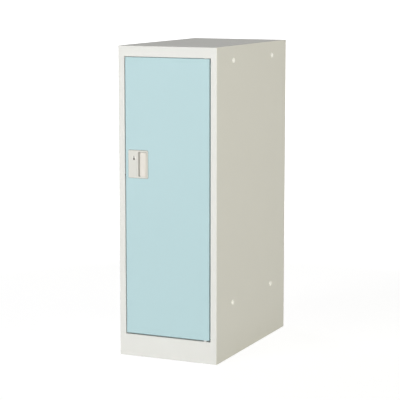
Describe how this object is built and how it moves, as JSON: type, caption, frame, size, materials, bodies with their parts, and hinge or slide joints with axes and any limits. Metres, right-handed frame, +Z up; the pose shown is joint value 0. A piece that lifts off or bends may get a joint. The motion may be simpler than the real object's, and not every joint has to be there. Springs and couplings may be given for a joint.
{
  "type": "mini locker",
  "caption": "Low single-door steel locker with an ivory folded-sheet cabinet, pale blue hinged door, flush pull handle with key lock, inner shelf and coat rail, and levelling feet.",
  "frame": {"origin": "middle of the cabinet's footprint at the ground", "axes": "+Z up, -Y towards the door's front, +X towards the hinged side"},
  "size_m": [0.306, 0.5191, 0.88],
  "materials": {
    "ivory_paint": "baked ivory paint, satin, fine orange peel",
    "pale_blue_paint": "baked pale blue paint, satin, fine orange peel",
    "ivory_plastic": "moulded ivory plastic, satin",
    "white_nylon": "moulded white nylon",
    "zinc_steel": "zinc plated steel",
    "chromed_tube": "chrome plated steel tube",
    "nickel_brass": "nickel plated brass",
    "grey_rubber": "soft grey rubber",
    "black_plastic": "moulded black plastic on a steel stud"
  },
  "bodies": {
    "carcass": {"left_side_panel": "ivory_paint", "right_side_panel": "ivory_paint", "back_panel": "ivory_paint", "top_panel": "ivory_paint", "floor_panel": "ivory_paint", "hat_shelf": "ivory_paint", "shelf_brackets": "ivory_paint", "coat_rail": "chromed_tube", "rail_sockets": "zinc_steel", "right_hole_plugs": "white_nylon", "left_hole_plugs": "white_nylon", "door_buffers": "grey_rubber", "base_brackets": "zinc_steel", "adjuster_nuts": "zinc_steel", "upper_hinge_bracket": "zinc_steel", "lower_hinge_bracket": "zinc_steel", "upper_hinge_pin": "zinc_steel", "lower_hinge_pin": "zinc_steel"},
    "door": {"door_skin": "pale_blue_paint", "door_stiffener": "pale_blue_paint", "upper_pivot_plate": "pale_blue_paint", "lower_pivot_plate": "pale_blue_paint", "upper_hinge_bush": "white_nylon", "lower_hinge_bush": "white_nylon", "handle_housing": "ivory_plastic", "lever_pin": "zinc_steel", "bolt_spring": "zinc_steel", "lock_body": "nickel_brass", "lock_nut": "zinc_steel"},
    "pull_lever": {"pull_lever": "ivory_plastic"},
    "latch_bolt": {"latch_bolt": "zinc_steel"},
    "lock_plug": {"lock_plug": "nickel_brass", "lock_cam": "zinc_steel", "cam_screw": "zinc_steel"},
    "foot_front_left": {"adjuster_foot_front_left": "black_plastic"},
    "foot_front_right": {"adjuster_foot_front_right": "black_plastic"},
    "foot_rear_left": {"adjuster_foot_rear_left": "black_plastic"},
    "foot_rear_right": {"adjuster_foot_rear_right": "black_plastic"}
  },
  "joints": [
    {"name": "door_hinge", "type": "hinge", "parent": "carcass", "child": "door", "pos_m": [0.1137, -0.2495, 0.45745], "axis": [0, 0, 1], "range_deg": [0, 110]},
    {"name": "lever_hinge", "type": "hinge", "parent": "door", "child": "pull_lever", "pos_m": [-0.0659, -0.2566, 0.5508], "axis": [0, 0, 1], "range_deg": [0, 20.2]},
    {"name": "latch_slide", "type": "slide", "parent": "door", "child": "latch_bolt", "axis": [1, 0, 0], "range_m": [0, 0.005], "stiffness_N_per_m": 1200, "springref_m": -0.0029, "deforming": ["bolt_spring"]},
    {"name": "lock_turn", "type": "hinge", "parent": "door", "child": "lock_plug", "pos_m": [-0.1014, -0.2495, 0.5685], "axis": [0, 1, 0], "range_deg": [0, 90]},
    {"name": "foot_front_left_screw", "type": "slide", "parent": "carcass", "child": "foot_front_left", "axis": [0, 0, -1], "range_m": [0, 0.012]},
    {"name": "foot_front_right_screw", "type": "slide", "parent": "carcass", "child": "foot_front_right", "axis": [0, 0, -1], "range_m": [0, 0.012]},
    {"name": "foot_rear_left_screw", "type": "slide", "parent": "carcass", "child": "foot_rear_left", "axis": [0, 0, -1], "range_m": [0, 0.012]},
    {"name": "foot_rear_right_screw", "type": "slide", "parent": "carcass", "child": "foot_rear_right", "axis": [0, 0, -1], "range_m": [0, 0.012]}
  ],
  "couplings": [
    {"joint": "lever_hinge", "follows": "latch_slide", "rad_per_m": 69.813}
  ]
}
